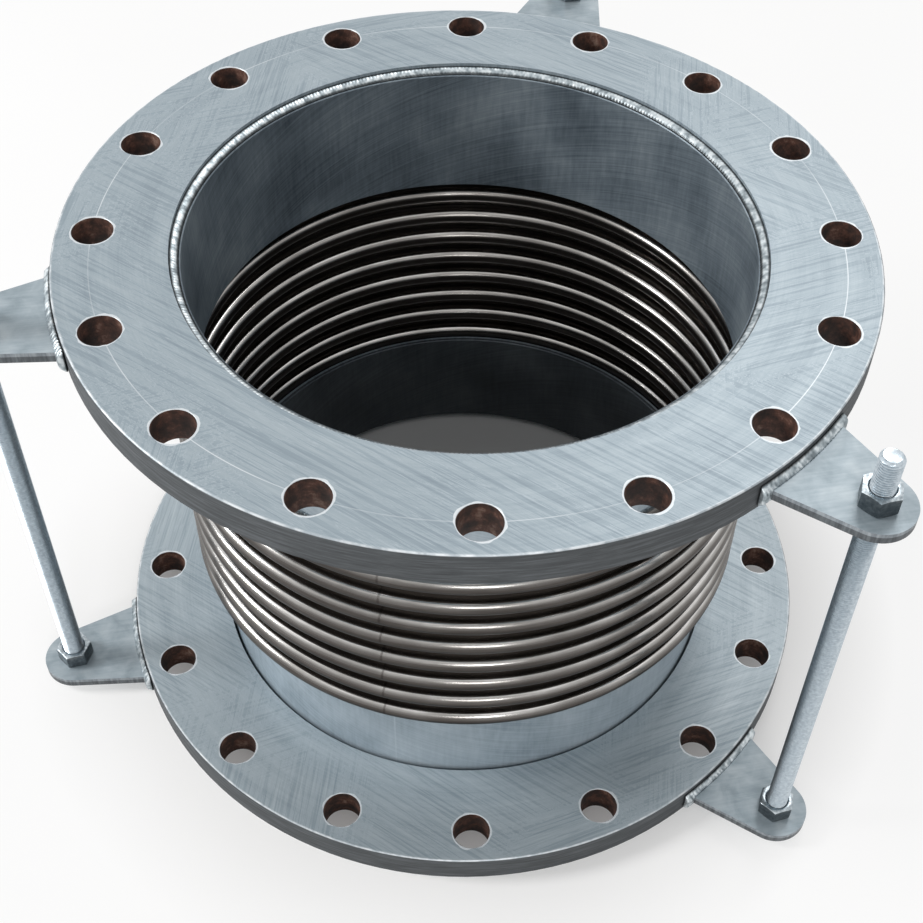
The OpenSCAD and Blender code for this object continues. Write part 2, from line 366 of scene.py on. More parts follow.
    # Painted highlight: a bright ring round the edge of each hole, uneven in width and brightness
    wobble = addNode(tree, "ShaderNodeTexNoise", {
        "Vector": place, "Scale": 1 / look["ringGrain"], "Detail": 2.0}).outputs["Fac"]
    ringWidth = addNode(tree, "ShaderNodeMapRange", {
        "Value": wobble, "From Min": 0.3, "From Max": 0.7,
        "To Min": look["holeRadius"] + look["holeHighlightWidth"][0],
        "To Max": look["holeRadius"] + look["holeHighlightWidth"][1]}).outputs[0]
    holeHighlight = addNode(tree, "ShaderNodeMath", {0: toHole, 1: ringWidth}, operation="LESS_THAN").outputs[0]
    holeHighlight = addNode(tree, "ShaderNodeMath", {0: holeHighlight, 1: 0.85}, operation="MULTIPLY").outputs[0]
    colour = addNode(tree, "ShaderNodeMix", {
        0: holeHighlight, 6: colour, 7: hexColour(look["bareAndHighlightTone"])}, data_type="RGBA").outputs[2]
    # Rusty primer on the wall of each hole
    rust = addNode(tree, "ShaderNodeTexNoise", {
        "Vector": place, "Scale": 1 / look["rustGrain"], "Detail": 8.0, "Roughness": 0.72}).outputs["Fac"]
    primer = addNode(tree, "ShaderNodeValToRGB", {"Fac": rust},
                     list(zip((0.34, 0.46, 0.56, 0.68), look["primer"]))).outputs[0]
    inHole = addNode(tree, "ShaderNodeMath", {
        0: toHole, 1: look["holeRadius"] + look["primerReach"]}, operation="LESS_THAN").outputs[0]
    colour = addNode(tree, "ShaderNodeMix", {0: inHole, 6: colour, 7: primer}, data_type="RGBA").outputs[2]
    if scribed:
        faint = addNode(tree, "ShaderNodeMapRange", {
            "Value": broad, "From Min": 0.4, "From Max": 0.6, "To Min": 0.25, "To Max": 0.8}).outputs[0]
        onLine = bandMask(tree, radius, look["boltCircle"], look["scribe"])
        onLine = addNode(tree, "ShaderNodeMath", {0: onLine, 1: faint}, operation="MULTIPLY").outputs[0]
        outside = addNode(tree, "ShaderNodeMath", {0: 1.0, 1: inHole}, operation="SUBTRACT").outputs[0]
        onLine = addNode(tree, "ShaderNodeMath", {0: onLine, 1: outside}, operation="MULTIPLY").outputs[0]
        colour = addNode(tree, "ShaderNodeMix", {
            0: onLine, 6: colour, 7: hexColour(look["bareAndHighlightTone"])}, data_type="RGBA").outputs[2]
    matt = addNode(tree, "ShaderNodeMath", {0: inHole, 1: onRim}, operation="MAXIMUM").outputs[0]
    sheen = addNode(tree, "ShaderNodeMapRange", {"Value": mixed, "To Min": 0.52, "To Max": 0.36}).outputs[0]
    rough = addNode(tree, "ShaderNodeMix", {0: matt, 2: sheen, 3: 0.7}).outputs[0]
    metal = addNode(tree, "ShaderNodeMapRange", {"Value": matt, "To Min": 0.35, "To Max": 0.05}).outputs[0]
    bump = addNode(tree, "ShaderNodeBump", {
        "Strength": 0.35, "Distance": 0.2 * mm, "Height": mixed}).outputs[0]
    shader = addNode(tree, "ShaderNodeBsdfPrincipled", {
        "Base Color": colour, "Roughness": rough, "Metallic": metal, "Normal": bump})
    finishMaterial(tree, shader)
    return material


pipeLook = {
    "stroke": 3.4 * mm,  # width of a brush stroke
    "strokeLength": 28 * mm,
    "lean": 14.0,  # radians that a leaning stroke turns to a metre of height
    "seamAngle": -91.5,  # degrees, the pipe's own long seam
    "seamHalf": 0.8 * mm,
    "patch": 62.5 * mm,  # size of a patch of tone
    "darkBelow": 60 * mm,  # inside, the painted shade low in the bore is full below this height
    "unshadedAbove": 260 * mm,
    "outside": ("#8896A0", "#A8B5BE", "#C0CBD2"),
    # Inside tones darker than outside: painted shade in the bore
    "inside": ("#4F5A63", "#737F88", "#98A3AA"),
    # Tone of the painted shade low in the bore
    "paintedBoreShade": "#1D1C1C",
    "seamTone": "#C7D0D6",
}


def pipePaint(name):
    # The same silver paint brushed on rolled pipe, with leaning strokes; inside it is painted darker as
    # shade, darkest low in the bore
    look = pipeLook
    material, tree = newMaterial(name)
    place, radius, outward = roundAxis(tree)
    height = addNode(tree, "ShaderNodeSeparateXYZ", {0: place}).outputs["Z"]
    lean = addNode(tree, "ShaderNodeMath", {0: height, 1: look["lean"]}, operation="MULTIPLY").outputs[0]
    leaning = addNode(tree, "ShaderNodeVectorRotate", {
        "Vector": outward, "Angle": lean}, rotation_type="Z_AXIS").outputs[0]
    turnScale = pipeOuter / look["stroke"]
    strokes = sweptNoise(tree, leaning, height, turnScale, 1 / look["strokeLength"], 5.0, 0.6)
    upright = sweptNoise(tree, outward, height, turnScale, 1 / look["strokeLength"], 4.0, 0.6)
    patches = addNode(tree, "ShaderNodeTexNoise", {
        "Vector": place, "Scale": 1 / look["patch"], "Detail": 4.0}).outputs["Fac"]
    mixed = addNode(tree, "ShaderNodeMix", {0: 0.35, 2: strokes, 3: upright}).outputs[0]
    mixed = addNode(tree, "ShaderNodeMix", {0: 0.5, 2: mixed, 3: patches}).outputs[0]
    stops = (0.36, 0.5, 0.66)
    outer = addNode(tree, "ShaderNodeValToRGB", {"Fac": mixed},
        list(zip(stops, look["outside"]))).outputs[0]
    inner = addNode(tree, "ShaderNodeValToRGB", {"Fac": mixed}, list(zip(stops, look["inside"]))).outputs[0]
    # Painted shade, darker towards the bottom of the bore
    paintedBoreShade = addNode(tree, "ShaderNodeMapRange", {
        "Value": height, "From Min": look["unshadedAbove"], "From Max": look["darkBelow"],
        "To Max": 0.7}).outputs[0]
    inner = addNode(tree, "ShaderNodeMix", {
        0: paintedBoreShade, 6: inner, 7: hexColour(look["paintedBoreShade"])}, data_type="RGBA").outputs[2]
    onSeam = bandMask(tree, offSeam(tree, place, look["seamAngle"]), 0.0, look["seamHalf"], 0.5)
    outer = addNode(tree, "ShaderNodeMix", {
        0: onSeam, 6: outer, 7: hexColour(look["seamTone"])}, data_type="RGBA").outputs[2]
    # The inner wall takes the darker tones as painted shade
    isOuter = addNode(tree, "ShaderNodeMath", {
        0: radius, 1: (pipeOuter + pipeInner) / 2}, operation="GREATER_THAN").outputs[0]
    colour = addNode(tree, "ShaderNodeMix", {0: isOuter, 6: inner, 7: outer}, data_type="RGBA").outputs[2]
    rough = addNode(tree, "ShaderNodeMapRange", {"Value": mixed, "To Min": 0.52, "To Max": 0.36}).outputs[0]
    bump = addNode(tree, "ShaderNodeBump", {
        "Strength": 0.3, "Distance": 0.2 * mm, "Height": mixed}).outputs[0]
    shader = addNode(tree, "ShaderNodeBsdfPrincipled", {
        "Base Color": colour, "Roughness": rough, "Metallic": 0.3, "Normal": bump})
    finishMaterial(tree, shader)
    return material


lugLook = {
    "face": ("#8B989F", "#9EAAB1", "#B1BBC0"),
    # Cut edge tones: a lighter painted highlight at the top, darker painted shade below
    "paintedLitEdge": ("#7A8187", "#8F969C", "#A5ACB1"),
    "paintedShadedEdge": ("#494D51", "#5B6064", "#6F7579"),
    "litEdgeDepth": 3.0 * mm,  # how far down the painted highlight at the top of a cut edge reaches
    "cloud": 17 * mm,
    "brush": 2.0 * mm,
    "brushTurn": 25,  # degrees
    "brushDrawn": 12,  # how many times longer than wide a stroke is
    "cutLine": 2.38 * mm,  # from one drag line of the cut to the next
    "cutDrawn": 0.15,  # scale of the drag lines upwards, which draws them out
}


def lugPaint(name):
    # Silver paint over flame-cut plate: pale brushed faces, and cut edges darker than the faces, with a
    # painted highlight along their top and painted shade below it
    look = lugLook
    material, tree = newMaterial(name)
    coords = addNode(tree, "ShaderNodeTexCoord").outputs
    height = addNode(tree, "ShaderNodeSeparateXYZ", {0: coords["Object"]}).outputs["Z"]
    clouds = addNode(tree, "ShaderNodeTexNoise", {
        "Vector": coords["Object"], "Scale": 1 / look["cloud"], "Detail": 5.0,
        "Distortion": 0.4}).outputs["Fac"]
    run = addNode(tree, "ShaderNodeMapping", {
        "Vector": coords["Object"], "Rotation": (0, 0, math.radians(look["brushTurn"])),
        "Scale": (look["brushDrawn"], 1, 1)}, vector_type="TEXTURE").outputs[0]
    brushed = addNode(tree, "ShaderNodeTexNoise", {
        "Vector": run, "Scale": 1 / look["brush"], "Detail": 4.0}).outputs["Fac"]
    clouds = addNode(tree, "ShaderNodeMix", {0: 0.25, 2: clouds, 3: brushed}).outputs[0]
    upright = addNode(tree, "ShaderNodeMapping", {
        "Vector": coords["Object"], "Scale": (1, 1, look["cutDrawn"])}).outputs[0]
    cutLines = addNode(tree, "ShaderNodeTexNoise", {
        "Vector": upright, "Scale": 1 / look["cutLine"], "Detail": 3.0}).outputs["Fac"]
    stops = (0.35, 0.5, 0.66)
    face = addNode(tree, "ShaderNodeValToRGB", {"Fac": clouds}, list(zip(stops, look["face"]))).outputs[0]
    shadedEdgeTone = addNode(tree, "ShaderNodeValToRGB", {"Fac": cutLines},
        list(zip(stops, look["paintedShadedEdge"]))).outputs[0]
    litEdgeTone = addNode(tree, "ShaderNodeValToRGB", {"Fac": cutLines},
        list(zip(stops, look["paintedLitEdge"]))).outputs[0]
    nearTop = 0.0
    for node in ("upper_lug_rear", "lower_lug_rear"):
        inBand = addNode(tree, "ShaderNodeMath", {
            0: height, 1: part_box(node)[1].z, 2: look["litEdgeDepth"]}, operation="COMPARE").outputs[0]
        nearTop = addNode(tree, "ShaderNodeMath", {0: inBand, 1: nearTop}, operation="MAXIMUM").outputs[0]
    # Painted highlight along the top of each cut edge, painted shade below it
    edge = addNode(tree, "ShaderNodeMix", {
        0: nearTop, 6: shadedEdgeTone, 7: litEdgeTone}, data_type="RGBA").outputs[2]
    upness = addNode(tree, "ShaderNodeSeparateXYZ", {0: coords["Normal"]}).outputs["Z"]
    upness = addNode(tree, "ShaderNodeMath", {0: upness}, operation="ABSOLUTE").outputs[0]
    onFace = addNode(tree, "ShaderNodeMath", {0: upness, 1: 0.6}, operation="GREATER_THAN").outputs[0]
    colour = addNode(tree, "ShaderNodeMix", {0: onFace, 6: edge, 7: face}, data_type="RGBA").outputs[2]
    relief = addNode(tree, "ShaderNodeMix", {0: onFace, 2: cutLines, 3: clouds}).outputs[0]
    bump = addNode(tree, "ShaderNodeBump", {
        "Strength": 0.3, "Distance": 0.3 * mm, "Height": relief}).outputs[0]
    shader = addNode(tree, "ShaderNodeBsdfPrincipled", {
        "Base Color": colour, "Roughness": 0.46, "Metallic": 0.35, "Normal": bump})
    finishMaterial(tree, shader)
    return material


weldLook = {
    "lump": 5.0 * mm,
    "steel": ("#7C858A", "#A6B0B5", "#D8DFE2"),
    "grooveTone": "#25292B",
    "groove": 2.0 * mm,
}


def weldSteel(name, grooves):
    # Arc weld brushed clean: bright rounded ripples, darker in a band along each groove beside the bead
    look = weldLook
    material, tree = newMaterial(name)
    place, radius = roundAxis(tree)[:2]
    lumps = addNode(tree, "ShaderNodeTexNoise", {
        "Vector": place, "Scale": 1 / look["lump"], "Detail": 1.5}).outputs["Fac"]
    colour = addNode(tree, "ShaderNodeValToRGB", {"Fac": lumps},
        list(zip((0.3, 0.46, 0.62), look["steel"]))).outputs[0]
    # Darker band along each groove beside the bead
    for groove in grooves:
        dark = bandMask(tree, radius, groove, look["groove"], 0.9)
        colour = addNode(tree, "ShaderNodeMix", {
            0: dark, 6: colour, 7: hexColour(look["grooveTone"])}, data_type="RGBA").outputs[2]
    rough = addNode(tree, "ShaderNodeMapRange", {"Value": lumps, "To Min": 0.45, "To Max": 0.28}).outputs[0]
    bump = addNode(tree, "ShaderNodeBump", {
        "Strength": 0.2, "Distance": 0.3 * mm, "Height": lumps}).outputs[0]
    shader = addNode(tree, "ShaderNodeBsdfPrincipled", {
        "Base Color": colour, "Roughness": rough, "Metallic": 0.8, "Normal": bump})
    finishMaterial(tree, shader)
    return material


bellowsLook = {
    "formingLine": 0.9 * mm,
    "seam": -92.0,  # degrees round the axis
    "seamHalf": 1.1 * mm,
    "stain": 38.46 * mm,  # size of a blotch of film
    "highlightNarrowness": 2.5,  # how narrow the painted highlight on the top of a crest is
    # Tones run from painted shade at the low end to painted highlight at the high end
    "steel": ("#393532", "#55514E", "#787572", "#A9A7A4", "#DFDDDB"),
    "steelStops": (0.08, 0.34, 0.6, 0.82, 0.98),
}


def bellowsSteel(name):
    # Cold-formed stainless steel: crest tops lighter as a painted highlight, undersides and valleys darker
    # as painted shade, forming lines round it
    look = bellowsLook
    material, tree = newMaterial(name)
    place, radius, outward = roundAxis(tree)
    split = addNode(tree, "ShaderNodeSeparateXYZ", {0: place}).outputs
    slant = addNode(tree, "ShaderNodeMath", {0: split["Z"], 1: radius}, operation="ADD").outputs[0]
    lines = sweptNoise(tree, outward, slant, 3.0, 1 / look["formingLine"], 4.0, 0.65)
    normal = addNode(tree, "ShaderNodeTexCoord").outputs["Normal"]
    facing = addNode(tree, "ShaderNodeVectorMath", {
        0: normal, 1: outward}, operation="DOT_PRODUCT").outputs["Value"]
    upness = addNode(tree, "ShaderNodeSeparateXYZ", {0: normal}).outputs["Z"]
    # Painted shade down in each valley and on faces turned down; painted highlight on faces turned up
    depth = addNode(tree, "ShaderNodeMath", {
        0: (rootLine + crestLine) / 2, 1: radius}, operation="SUBTRACT").outputs[0]
    valley = addNode(tree, "ShaderNodeMath", {0: depth, 1: facing}, operation="MULTIPLY").outputs[0]
    halfDepth = (crestLine - rootLine) / 2
    paintedValleyShade = addNode(tree, "ShaderNodeMapRange", {
        "Value": valley, "From Min": halfDepth, "From Max": -0.1 * halfDepth, "To Min": 0.8}).outputs[0]
    paintedLight = addNode(tree, "ShaderNodeMapRange", {
        "Value": upness, "From Min": -1.0, "From Max": 1.0}).outputs[0]
    paintedLight = addNode(tree, "ShaderNodeMath", {0: paintedLight, 1: look["highlightNarrowness"]}, operation="POWER").outputs[0]
    paintedLight = addNode(tree, "ShaderNodeMath", {0: paintedLight, 1: paintedValleyShade}, operation="MULTIPLY").outputs[0]
    # Forming lines and a blotchy film shift the tone
    stain = addNode(tree, "ShaderNodeTexNoise", {
        "Vector": place, "Scale": 1 / look["stain"], "Detail": 5.0}).outputs["Fac"]
    shift = addNode(tree, "ShaderNodeMix", {0: 0.4, 2: lines, 3: stain}).outputs[0]
    shift = addNode(tree, "ShaderNodeMapRange", {
        "Value": shift, "From Min": 0.3, "From Max": 0.7, "To Min": -0.18, "To Max": 0.18}).outputs[0]
    tone = addNode(tree, "ShaderNodeMath", {0: paintedLight, 1: shift}, operation="ADD").outputs[0]
    onSeam = bandMask(tree, offSeam(tree, place, look["seam"]), 0.0, look["seamHalf"])
    seamShade = addNode(tree, "ShaderNodeMath", {0: onSeam, 1: 0.16}, operation="MULTIPLY").outputs[0]
    tone = addNode(tree, "ShaderNodeMath", {0: tone, 1: seamShade}, operation="SUBTRACT").outputs[0]
    colour = addNode(tree, "ShaderNodeValToRGB", {"Fac": tone},
        list(zip(look["steelStops"], look["steel"]))).outputs[0]
    rough = addNode(tree, "ShaderNodeMapRange", {"Value": tone, "To Min": 0.4, "To Max": 0.13}).outputs[0]
    relief = addNode(tree, "ShaderNodeMath", {0: onSeam, 1: 2.0}, operation="MULTIPLY").outputs[0]
    relief = addNode(tree, "ShaderNodeMath", {0: relief, 1: lines}, operation="ADD").outputs[0]
    bump = addNode(tree, "ShaderNodeBump", {
        "Strength": 0.25, "Distance": 0.14 * mm, "Height": relief}).outputs[0]
    shader = addNode(tree, "ShaderNodeBsdfPrincipled", {
        "Base Color": colour, "Roughness": rough, "Metallic": 1.0, "Normal": bump})
    finishMaterial(tree, shader)
    return material


zincLook = {
    "bloom": 2.5 * mm,  # size of a fleck of the dull bloom
    # Tone of the painted shade on upright flats
    "paintedSideShade": "#34393C",
    "paintedSideShadeBand": 0.45,  # how far from upright a flat may lean and still get the painted shade
}


def zincPlate(name, tones, sideShade, roughness):
    # Zinc-plated steel: blue-white metal with a fine dull bloom; upright flats painted darker as painted
    # shade, standing in for a dark reflection
    material, tree = newMaterial(name)
    coords = addNode(tree, "ShaderNodeTexCoord").outputs
    bloom = addNode(tree, "ShaderNodeTexNoise", {
        "Vector": coords["Object"], "Scale": 1 / zincLook["bloom"], "Detail": 4.0}).outputs["Fac"]
    colour = addNode(tree, "ShaderNodeValToRGB", {"Fac": bloom},
        list(zip((0.3, 0.5, 0.7), tones))).outputs[0]
    upness = addNode(tree, "ShaderNodeSeparateXYZ", {0: coords["Normal"]}).outputs["Z"]
    # Painted shade on the upright flats
    paintedSideShade = bandMask(tree, upness, 0.0, zincLook["paintedSideShadeBand"], sideShade)
    colour = addNode(tree, "ShaderNodeMix", {
        0: paintedSideShade, 6: colour, 7: hexColour(zincLook["paintedSideShade"])}, data_type="RGBA").outputs[2]
    rough = addNode(tree, "ShaderNodeMapRange", {
        "Value": bloom, "To Min": roughness + 0.12, "To Max": roughness - 0.08}).outputs[0]
    bump = addNode(tree, "ShaderNodeBump", {
        "Strength": 0.15, "Distance": 0.1 * mm, "Height": bloom}).outputs[0]
    shader = addNode(tree, "ShaderNodeBsdfPrincipled", {
        "Base Color": colour, "Roughness": rough, "Metallic": 1.0, "Normal": bump})
    finishMaterial(tree, shader)
    return material


upperFlangePaint = flangePaint("silverPaintOnScribedFlange", flangeLook["upperPaint"], True)
# The lower flange gets the lighter tones: painted light against the shade cast on it
lowerFlangePaint = flangePaint("silverPaintOnFlange", flangeLook["lowerPaintPaintedLight"], False)
stubPaint = pipePaint("silverPaintOnPipe")
platePaint = lugPaint("silverPaintOnLug")
ringWeldMetal = weldSteel("brushedRingWeld", (pipeInner + fit["weldInset"], flangeBore))
lugWeldMetal = weldSteel("brushedLugWeld", (flangeRim,))
formedSteel = bellowsSteel("formedStainlessSteel")
rodZinc = zincPlate("zincPlatedThread", ("#ABB6BE", "#BCC6CD", "#CCD5DB"), 0.15, 0.32)
nutZinc = zincPlate("zincPlatedNut", ("#858E94", "#A9B2B7", "#CDD4D8"), 0.75, 0.30)
print("materials made")


# CAD nodes that stay, with their finish

for name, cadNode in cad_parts.items():
    finish = None
    if name == "upper_flange":
        finish = upperFlangePaint
    elif name == "lower_flange":
        finish = lowerFlangePaint
    elif name.endswith("pipe_stub"):
        finish = stubPaint
    elif "lug_weld" not in name and "_lug_" in name:
        finish = platePaint
    if finish:
        cadNode.data.materials.clear()
        cadNode.data.materials.append(finish)


# Bellows: one formed tube, drawn as a middle line, spun and given its wall

bellows = {
    "crests": 8,
    "pitch": 22.5 * mm,
    "bendSteps": 12,  # straight steps in the half circle of a crest or root
    "turnSteps": 190,
    "seamSteps": 4,
    "seamAngle": 1.4,  # degrees taken by the close columns at the seam
    "seamRise": 0.3 * mm,
    "seamPick": 0.3 * mm,  # how near its line a vertex counts as on the seam
}


def bellowsLine():
    low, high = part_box("bellows")
    bend = bellows["pitch"] / 4
    rootRadius = rootLine + bend
    crestRadius = crestLine - bend
    middle = (low.z + high.z) / 2
    firstCrest = middle - (bellows["crests"] - 1) / 2 * bellows["pitch"]
    steps = bellows["bendSteps"]
    points = [(rootLine, low.z)]

    def arc(radius, z, start, end, count):
        for i in range(count + 1):
            a = math.radians(start + (end - start) * i / count)
            points.append((radius + bend * math.cos(a), z + bend * math.sin(a)))

    arc(rootRadius, firstCrest - bellows["pitch"] / 2, 180, 90, steps // 2)
    for k in range(bellows["crests"]):
        z = firstCrest + k * bellows["pitch"]
        arc(crestRadius, z, -90, 90, steps)
        last = k == bellows["crests"] - 1
        arc(rootRadius, z + bellows["pitch"] / 2, 270, 180 if last else 90, steps // 2 if last else steps)
    points.append((rootLine, high.z))
    return points


def makeBellows():
    start = math.radians(bellowsLook["seam"] - bellows["seamAngle"] / 2)
    line = [(r * math.cos(start), r * math.sin(start), z) for r, z in bellowsLine()]
    piece = drawLine("bellows_skin", line)
    seam = math.radians(bellows["seamAngle"])
    bpy.ops.mesh.spin(steps=bellows["seamSteps"], angle=seam, center=(0, 0, 0), axis=(0, 0, 1))
    bpy.ops.mesh.spin(steps=bellows["turnSteps"], angle=math.tau - seam, center=(0, 0, 0), axis=(0, 0, 1))
    closeSkin(piece)
    middle = math.radians(bellowsLook["seam"])
    across = Vector((-math.sin(middle), math.cos(middle), 0))
    outward = Vector((math.cos(middle), math.sin(middle), 0))
    selectVerts(piece, lambda co: abs(co.dot(across)) < bellows["seamPick"] and co.dot(outward) > 0)
    bpy.ops.transform.shrink_fatten(value=bellows["seamRise"])
    objectMode()
    applyModifier(piece, "SOLIDIFY", thickness=fit["bellowsWall"], offset=0, use_even_offset=True)
    selectOnly(piece)
    bpy.ops.object.shade_smooth()
    return piece


bellowsSkin = makeBellows()
finishPiece(bellowsSkin, "lower_end", "bellows_steel", formedSteel, "bellows")
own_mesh(bellowsSkin)
print("bellows made")


# Tie rods: an M16 thread swept up the whole rod

rod = {
    "radius": 8.0 * mm,
    "pitch": 2.0 * mm,
    "depth": 1.23 * mm,
    "tooth": (0.25, 0.5625, 0.6875),  # shares of the pitch: end of the root flat, crest start and end
    "steps": 24,
    "chamfer": 1.6 * mm,
    "chamferBands": 4,
    "join": 0.02 * mm,  # vertices nearer than this are one
    "tiny": 0.001 * mm,  # for cuts and comparisons
}
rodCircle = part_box("tie_rod_rear")[1].y - rod["radius"]
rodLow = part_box("tie_rod_rear")[0].z
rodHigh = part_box("tie_rod_rear")[1].z


def makeRod():
    pitch, radius = rod["pitch"], rod["radius"]
    root = radius - rod["depth"]
    start = rodLow - pitch
    rootEnd, crestStart, crestEnd = rod["tooth"]
    tooth = [(root, 0), (root, pitch * rootEnd), (radius, pitch * crestStart),
             (radius, pitch * crestEnd), (root, pitch)]
    piece = drawLine("threaded_rod", [(r, 0, start + z) for r, z in tooth])
    objectMode()
    turns = math.ceil((rodHigh - rodLow) / pitch) + 2
    applyModifier(piece, "SCREW", axis="Z", angle=math.tau, screw_offset=pitch, iterations=turns,
                  steps=rod["steps"], render_steps=rod["steps"], use_merge_vertices=False)
    bpy.ops.object.mode_set(mode="EDIT")
    closeSkin(piece, rod["join"])
    bpy.ops.object.mode_set(mode="EDIT")
    for z, up in ((rodLow, -1), (rodHigh, 1)):
        bpy.ops.mesh.select_all(action="SELECT")
        bpy.ops.mesh.bisect(plane_co=(0, 0, z), plane_no=(0, 0, up),
                            clear_outer=True, use_fill=True, threshold=rod["tiny"])
    bpy.ops.mesh.select_all(action="SELECT")
    bpy.ops.mesh.normals_make_consistent(inside=False)
    # Chamfer: in thin bands at both ends, what stands out past the cone is drawn in
    bands = rod["chamferBands"]
    for z, up in ((rodLow, 1), (rodHigh, -1)):
        for k in range(bands):
            near, far = rod["chamfer"] * k / bands, rod["chamfer"] * (k + 1) / bands
            limit = radius - rod["chamfer"] + near
            selectVerts(piece, lambda co: near - rod["tiny"] <= (co.z - z) * up < far - rod["tiny"]
                        and math.hypot(co.x, co.y) > limit)
            bpy.ops.transform.resize(value=(limit / radius, limit / radius, 1), center_override=(0, 0, z))
    objectMode()
    piece.location = (rodCircle, 0, 0)
    selectOnly(piece)
    bpy.ops.object.transform_apply(location=True, rotation=False, scale=False)
    bpy.ops.object.shade_smooth_by_angle(angle=math.radians(28))
    return piece


rodMaster = makeRod()
for side, angle in sides.items():
    copy = copyRound(rodMaster, "threaded_rod_" + side, angle)
    finishPiece(copy, "lower_end", "rod_zinc", rodZinc, "tie_rod_" + side)
bpy.data.objects.remove(rodMaster)
print("tie rods made")


# Nuts: hexagon with turned corners and a countersunk hole

nut = {
    "acrossFlats": 24.0 * mm,
    "hole": 8.05 * mm,
    "countersink": 1.1 * mm,
    "edge": 0.25 * mm,
    "turn": 1.0 * mm,  # height of the cone that turns the corners, out at its overrun
    "turnInset": 0.3 * mm,  # how far the round end face lies inside the flats
    "overrun": 0.5 * mm,  # how far a cutting shape stands out past the nut
    "skim": 0.01 * mm,  # how far the cone stands off the end faces
    "coneSteps": 72,
    "drillSteps": 48,
    "join": 0.001 * mm,  # vertices nearer than this are one
}


# A closed turned shape: a line spun round, with its two open ends filled
def spinCutter(name, points, steps):
    cutter = drawLine(name, points)
    bpy.ops.mesh.spin(steps=steps, angle=math.tau, center=(0, 0, 0), axis=(0, 0, 1))
    bpy.ops.mesh.select_all(action="SELECT")
    bpy.ops.mesh.remove_doubles(threshold=nut["join"])
    for z in (points[0][2], points[-1][2]):
        selectVerts(cutter, lambda co: abs(co.z - z) < nut["join"])
        bpy.ops.mesh.edge_face_add()
    closeSkin(cutter, nut["join"])
    return cutter


def makeNut(name, low, high):
    corner = nut["acrossFlats"] / 2 / math.cos(math.radians(30))
    height = high - low
    middle = (low + high) / 2
    objectMode()
    bpy.ops.object.select_all(action="DESELECT")
    bpy.ops.mesh.primitive_cylinder_add(vertices=6, radius=corner, depth=height, location=(0, 0, middle),
                                        rotation=(0, 0, math.radians(30)))
    piece = startPiece(name)
    bpy.ops.object.transform_apply(location=True, rotation=True, scale=True)
    flat = nut["acrossFlats"] / 2
    inner, outer = flat - nut["turnInset"], corner + nut["overrun"]
    coneLow, coneHigh = low - nut["skim"], high + nut["skim"]
    cone = spinCutter(name + "_cone", [
        (inner, 0, coneLow), (outer, 0, low + nut["turn"]),
        (outer, 0, high - nut["turn"]), (inner, 0, coneHigh)], nut["coneSteps"])
    applyModifier(piece, "BOOLEAN", operation="INTERSECT", object=cone, solver="EXACT")
    bpy.data.objects.remove(cone)
    sink, bore, over = nut["countersink"], nut["hole"], nut["overrun"]
    drill = spinCutter(name + "_drill", [
        (bore + sink + over, 0, low - over), (bore, 0, low + sink),
        (bore, 0, high - sink), (bore + sink + over, 0, high + over)], nut["drillSteps"])
    applyModifier(piece, "BOOLEAN", operation="DIFFERENCE", object=drill, solver="EXACT")
    bpy.data.objects.remove(drill)
    applyModifier(piece, "BEVEL", width=nut["edge"], segments=2,
                  limit_method="ANGLE", angle_limit=math.radians(25))
    piece.location = (rodCircle, 0, 0)
    selectOnly(piece)
    bpy.ops.object.transform_apply(location=True, rotation=False, scale=False)
    bpy.ops.object.shade_smooth_by_angle(angle=math.radians(30))
    return piece


for kind in ("upper_nut", "lower_nut", "lock_nut"):
    low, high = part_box(kind + "_rear")
    master = makeNut(kind + "_hexagon", low.z, high.z)
    for side, angle in sides.items():
        copy = copyRound(master, kind + "_hexagon_" + side, angle)
        finishPiece(copy, "lower_end", "nut_zinc", nutZinc, kind + "_" + side)
    bpy.data.objects.remove(master)
print("nuts made")


# Welds round the pipe: a bowed bead profile spun in short steps, every fourth step pinched

bead = {
    "ripple": 2.8 * mm,
    "stepsPerRipple": 4,
    "bow": 1.1 * mm,  # how far the middle of a ripple leads its ends
    "pinch": 0.28 * mm,
    "across": 8,  # steps across the face of the bead
    "bulge": 1.0 * mm,
    "scatter": 0.04 * mm,
    "pinchFrom": 0.2,  # shares of the bulge above which the face is pinched, and scattered
    "scatterFrom": 0.1,
    "join": 0.005 * mm,  # vertices nearer than this are one
}


